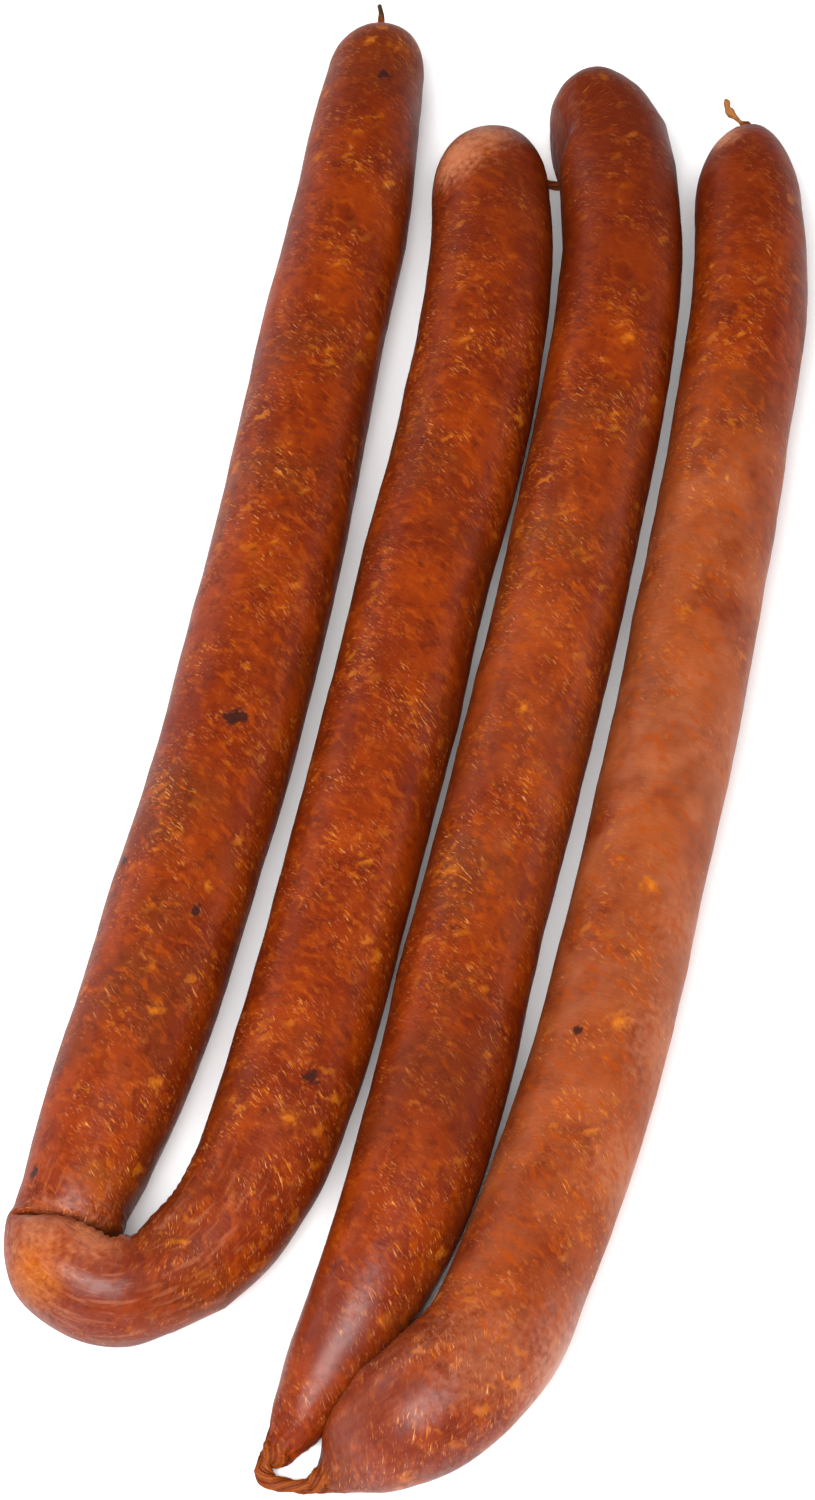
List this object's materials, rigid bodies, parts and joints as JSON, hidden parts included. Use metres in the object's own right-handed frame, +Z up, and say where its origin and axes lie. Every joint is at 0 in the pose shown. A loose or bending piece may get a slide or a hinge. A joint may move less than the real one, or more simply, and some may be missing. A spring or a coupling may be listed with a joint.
{
  "type": "string of sausage links",
  "caption": "Long smoked sausages in one casing, folded in a zigzag: one bend is a crushed fold, the others are thin twists, and the casing's ends are small knotted tails.",
  "frame": {"origin": "centre of the bounding box in plan, at the table the links lie on", "axes": "+Z up from the table; +Y along the links, away from the folded near end; +X from the first link across to the last"},
  "size_m": [0.1636, 0.3532, 0.0277],
  "materials": {
    "casing": "smooth thin casing with a soft gloss, reddish brown with orange flecks of fat"
  },
  "bodies": {
    "root": {"sausage_string": "casing"}
  },
  "joints": []
}
